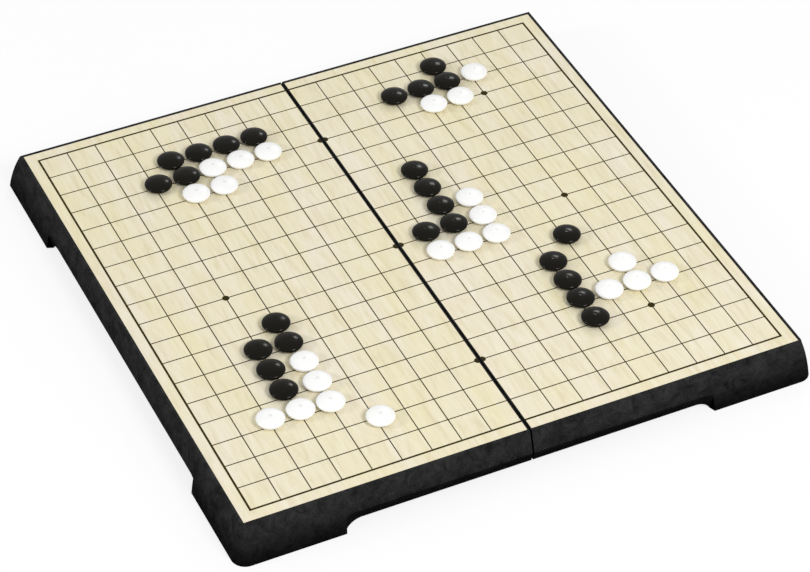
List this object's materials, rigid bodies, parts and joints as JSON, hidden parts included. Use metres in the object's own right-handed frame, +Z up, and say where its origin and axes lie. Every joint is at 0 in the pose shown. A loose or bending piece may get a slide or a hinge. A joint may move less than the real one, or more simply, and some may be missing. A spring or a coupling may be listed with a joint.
{
  "type": "magnetic go board",
  "caption": "Folding magnetic go board: two hinged black half cases with a gridded playing face, stone bays with sliding covers underneath, and magnetic stones that lift off.",
  "frame": {"origin": "centre of the open board at the seam, on the table that its feet stand on", "axes": "+X across the seam to the right half, +Y along the seam to the back, +Z up from the playing face"},
  "size_m": [0.2856, 0.2856, 0.0248],
  "materials": {
    "case": "moulded, fine leather-like texture",
    "plate": "plain sheet steel",
    "sheet": "printed with a pale wood grain and a 19 x 19 grid",
    "cover": "moulded, fine texture",
    "link": "moulded, smooth",
    "pin": "ground",
    "magnet": "pressed ferrite",
    "black_stone": "polished",
    "white_stone": "polished"
  },
  "bodies": {
    "right_half": {"right_shell": "case", "right_steel_plate": "plate", "right_playing_sheet": "sheet", "right_closing_magnets": "magnet"},
    "links": {"hinge_links": "link", "hinge_pins": "pin"},
    "left_half": {"left_shell": "case", "left_steel_plate": "plate", "left_playing_sheet": "sheet", "left_closing_magnets": "magnet"},
    "right_cover": {"right_bay_cover": "cover"},
    "left_cover": {"left_bay_cover": "cover"},
    "black_stone_01": {"black_stone_01": "black_stone"},
    "black_stone_02": {"black_stone_02": "black_stone"},
    "black_stone_03": {"black_stone_03": "black_stone"},
    "black_stone_04": {"black_stone_04": "black_stone"},
    "black_stone_05": {"black_stone_05": "black_stone"},
    "black_stone_06": {"black_stone_06": "black_stone"},
    "black_stone_07": {"black_stone_07": "black_stone"},
    "black_stone_08": {"black_stone_08": "black_stone"},
    "black_stone_09": {"black_stone_09": "black_stone"},
    "black_stone_10": {"black_stone_10": "black_stone"},
    "black_stone_11": {"black_stone_11": "black_stone"},
    "black_stone_12": {"black_stone_12": "black_stone"},
    "black_stone_13": {"black_stone_13": "black_stone"},
    "black_stone_14": {"black_stone_14": "black_stone"},
    "black_stone_15": {"black_stone_15": "black_stone"},
    "black_stone_16": {"black_stone_16": "black_stone"},
    "black_stone_17": {"black_stone_17": "black_stone"},
    "black_stone_18": {"black_stone_18": "black_stone"},
    "black_stone_19": {"black_stone_19": "black_stone"},
    "black_stone_20": {"black_stone_20": "black_stone"},
    "black_stone_21": {"black_stone_21": "black_stone"},
    "black_stone_22": {"black_stone_22": "black_stone"},
    "black_stone_23": {"black_stone_23": "black_stone"},
    "black_stone_24": {"black_stone_24": "black_stone"},
    "black_stone_25": {"black_stone_25": "black_stone"},
    "white_stone_01": {"white_stone_01": "white_stone"},
    "white_stone_02": {"white_stone_02": "white_stone"},
    "white_stone_03": {"white_stone_03": "white_stone"},
    "white_stone_04": {"white_stone_04": "white_stone"},
    "white_stone_05": {"white_stone_05": "white_stone"},
    "white_stone_06": {"white_stone_06": "white_stone"},
    "white_stone_07": {"white_stone_07": "white_stone"},
    "white_stone_08": {"white_stone_08": "white_stone"},
    "white_stone_09": {"white_stone_09": "white_stone"},
    "white_stone_10": {"white_stone_10": "white_stone"},
    "white_stone_11": {"white_stone_11": "white_stone"},
    "white_stone_12": {"white_stone_12": "white_stone"},
    "white_stone_13": {"white_stone_13": "white_stone"},
    "white_stone_14": {"white_stone_14": "white_stone"},
    "white_stone_15": {"white_stone_15": "white_stone"},
    "white_stone_16": {"white_stone_16": "white_stone"},
    "white_stone_17": {"white_stone_17": "white_stone"},
    "white_stone_18": {"white_stone_18": "white_stone"},
    "white_stone_19": {"white_stone_19": "white_stone"},
    "white_stone_20": {"white_stone_20": "white_stone"},
    "white_stone_21": {"white_stone_21": "white_stone"},
    "white_stone_22": {"white_stone_22": "white_stone"},
    "white_stone_23": {"white_stone_23": "white_stone"}
  },
  "joints": [
    {"name": "board_fold", "type": "hinge", "parent": "right_half", "child": "links", "pos_m": [0.00515, 0, 0.005], "axis": [0, -1, 0], "range_deg": [0, 90]},
    {"name": "board_fold_far_pin", "type": "hinge", "parent": "links", "child": "left_half", "pos_m": [-0.00515, 0, 0.005], "axis": [0, -1, 0], "range_deg": [0, 90]},
    {"name": "cover_slide_left", "type": "slide", "parent": "left_half", "child": "left_cover", "axis": [0, -1, 0], "range_m": [0, 0.2]},
    {"name": "cover_slide_right", "type": "slide", "parent": "right_half", "child": "right_cover", "axis": [0, -1, 0], "range_m": [0, 0.2]},
    {"name": "lift_black_stone_01", "type": "slide", "parent": "left_half", "child": "black_stone_01", "axis": [0, 0, 1], "range_m": [0, 0.03]},
    {"name": "lift_black_stone_02", "type": "slide", "parent": "left_half", "child": "black_stone_02", "axis": [0, 0, 1], "range_m": [0, 0.03]},
    {"name": "lift_black_stone_03", "type": "slide", "parent": "left_half", "child": "black_stone_03", "axis": [0, 0, 1], "range_m": [0, 0.03]},
    {"name": "lift_black_stone_04", "type": "slide", "parent": "left_half", "child": "black_stone_04", "axis": [0, 0, 1], "range_m": [0, 0.03]},
    {"name": "lift_black_stone_05", "type": "slide", "parent": "left_half", "child": "black_stone_05", "axis": [0, 0, 1], "range_m": [0, 0.03]},
    {"name": "lift_black_stone_06", "type": "slide", "parent": "left_half", "child": "black_stone_06", "axis": [0, 0, 1], "range_m": [0, 0.03]},
    {"name": "lift_black_stone_07", "type": "slide", "parent": "right_half", "child": "black_stone_07", "axis": [0, 0, 1], "range_m": [0, 0.03]},
    {"name": "lift_black_stone_08", "type": "slide", "parent": "right_half", "child": "black_stone_08", "axis": [0, 0, 1], "range_m": [0, 0.03]},
    {"name": "lift_black_stone_09", "type": "slide", "parent": "right_half", "child": "black_stone_09", "axis": [0, 0, 1], "range_m": [0, 0.03]},
    {"name": "lift_black_stone_10", "type": "slide", "parent": "right_half", "child": "black_stone_10", "axis": [0, 0, 1], "range_m": [0, 0.03]},
    {"name": "lift_black_stone_11", "type": "slide", "parent": "right_half", "child": "black_stone_11", "axis": [0, 0, 1], "range_m": [0, 0.03]},
    {"name": "lift_black_stone_12", "type": "slide", "parent": "right_half", "child": "black_stone_12", "axis": [0, 0, 1], "range_m": [0, 0.03]},
    {"name": "lift_black_stone_13", "type": "slide", "parent": "right_half", "child": "black_stone_13", "axis": [0, 0, 1], "range_m": [0, 0.03]},
    {"name": "lift_black_stone_14", "type": "slide", "parent": "right_half", "child": "black_stone_14", "axis": [0, 0, 1], "range_m": [0, 0.03]},
    {"name": "lift_black_stone_15", "type": "slide", "parent": "right_half", "child": "black_stone_15", "axis": [0, 0, 1], "range_m": [0, 0.03]},
    {"name": "lift_black_stone_16", "type": "slide", "parent": "right_half", "child": "black_stone_16", "axis": [0, 0, 1], "range_m": [0, 0.03]},
    {"name": "lift_black_stone_17", "type": "slide", "parent": "right_half", "child": "black_stone_17", "axis": [0, 0, 1], "range_m": [0, 0.03]},
    {"name": "lift_black_stone_18", "type": "slide", "parent": "right_half", "child": "black_stone_18", "axis": [0, 0, 1], "range_m": [0, 0.03]},
    {"name": "lift_black_stone_19", "type": "slide", "parent": "right_half", "child": "black_stone_19", "axis": [0, 0, 1], "range_m": [0, 0.03]},
    {"name": "lift_black_stone_20", "type": "slide", "parent": "right_half", "child": "black_stone_20", "axis": [0, 0, 1], "range_m": [0, 0.03]},
    {"name": "lift_black_stone_21", "type": "slide", "parent": "left_half", "child": "black_stone_21", "axis": [0, 0, 1], "range_m": [0, 0.03]},
    {"name": "lift_black_stone_22", "type": "slide", "parent": "left_half", "child": "black_stone_22", "axis": [0, 0, 1], "range_m": [0, 0.03]},
    {"name": "lift_black_stone_23", "type": "slide", "parent": "left_half", "child": "black_stone_23", "axis": [0, 0, 1], "range_m": [0, 0.03]},
    {"name": "lift_black_stone_24", "type": "slide", "parent": "left_half", "child": "black_stone_24", "axis": [0, 0, 1], "range_m": [0, 0.03]},
    {"name": "lift_black_stone_25", "type": "slide", "parent": "left_half", "child": "black_stone_25", "axis": [0, 0, 1], "range_m": [0, 0.03]},
    {"name": "lift_white_stone_01", "type": "slide", "parent": "left_half", "child": "white_stone_01", "axis": [0, 0, 1], "range_m": [0, 0.03]},
    {"name": "lift_white_stone_02", "type": "slide", "parent": "left_half", "child": "white_stone_02", "axis": [0, 0, 1], "range_m": [0, 0.03]},
    {"name": "lift_white_stone_03", "type": "slide", "parent": "left_half", "child": "white_stone_03", "axis": [0, 0, 1], "range_m": [0, 0.03]},
    {"name": "lift_white_stone_04", "type": "slide", "parent": "left_half", "child": "white_stone_04", "axis": [0, 0, 1], "range_m": [0, 0.03]},
    {"name": "lift_white_stone_05", "type": "slide", "parent": "left_half", "child": "white_stone_05", "axis": [0, 0, 1], "range_m": [0, 0.03]},
    {"name": "lift_white_stone_06", "type": "slide", "parent": "right_half", "child": "white_stone_06", "axis": [0, 0, 1], "range_m": [0, 0.03]},
    {"name": "lift_white_stone_07", "type": "slide", "parent": "right_half", "child": "white_stone_07", "axis": [0, 0, 1], "range_m": [0, 0.03]},
    {"name": "lift_white_stone_08", "type": "slide", "parent": "right_half", "child": "white_stone_08", "axis": [0, 0, 1], "range_m": [0, 0.03]},
    {"name": "lift_white_stone_09", "type": "slide", "parent": "right_half", "child": "white_stone_09", "axis": [0, 0, 1], "range_m": [0, 0.03]},
    {"name": "lift_white_stone_10", "type": "slide", "parent": "right_half", "child": "white_stone_10", "axis": [0, 0, 1], "range_m": [0, 0.03]},
    {"name": "lift_white_stone_11", "type": "slide", "parent": "right_half", "child": "white_stone_11", "axis": [0, 0, 1], "range_m": [0, 0.03]},
    {"name": "lift_white_stone_12", "type": "slide", "parent": "right_half", "child": "white_stone_12", "axis": [0, 0, 1], "range_m": [0, 0.03]},
    {"name": "lift_white_stone_13", "type": "slide", "parent": "right_half", "child": "white_stone_13", "axis": [0, 0, 1], "range_m": [0, 0.03]},
    {"name": "lift_white_stone_14", "type": "slide", "parent": "right_half", "child": "white_stone_14", "axis": [0, 0, 1], "range_m": [0, 0.03]},
    {"name": "lift_white_stone_15", "type": "slide", "parent": "right_half", "child": "white_stone_15", "axis": [0, 0, 1], "range_m": [0, 0.03]},
    {"name": "lift_white_stone_16", "type": "slide", "parent": "right_half", "child": "white_stone_16", "axis": [0, 0, 1], "range_m": [0, 0.03]},
    {"name": "lift_white_stone_17", "type": "slide", "parent": "right_half", "child": "white_stone_17", "axis": [0, 0, 1], "range_m": [0, 0.03]},
    {"name": "lift_white_stone_18", "type": "slide", "parent": "left_half", "child": "white_stone_18", "axis": [0, 0, 1], "range_m": [0, 0.03]},
    {"name": "lift_white_stone_19", "type": "slide", "parent": "left_half", "child": "white_stone_19", "axis": [0, 0, 1], "range_m": [0, 0.03]},
    {"name": "lift_white_stone_20", "type": "slide", "parent": "left_half", "child": "white_stone_20", "axis": [0, 0, 1], "range_m": [0, 0.03]},
    {"name": "lift_white_stone_21", "type": "slide", "parent": "left_half", "child": "white_stone_21", "axis": [0, 0, 1], "range_m": [0, 0.03]},
    {"name": "lift_white_stone_22", "type": "slide", "parent": "left_half", "child": "white_stone_22", "axis": [0, 0, 1], "range_m": [0, 0.03]},
    {"name": "lift_white_stone_23", "type": "slide", "parent": "left_half", "child": "white_stone_23", "axis": [0, 0, 1], "range_m": [0, 0.03]}
  ],
  "couplings": [
    {"joint": "board_fold_far_pin", "follows": "board_fold", "ratio": 1}
  ]
}
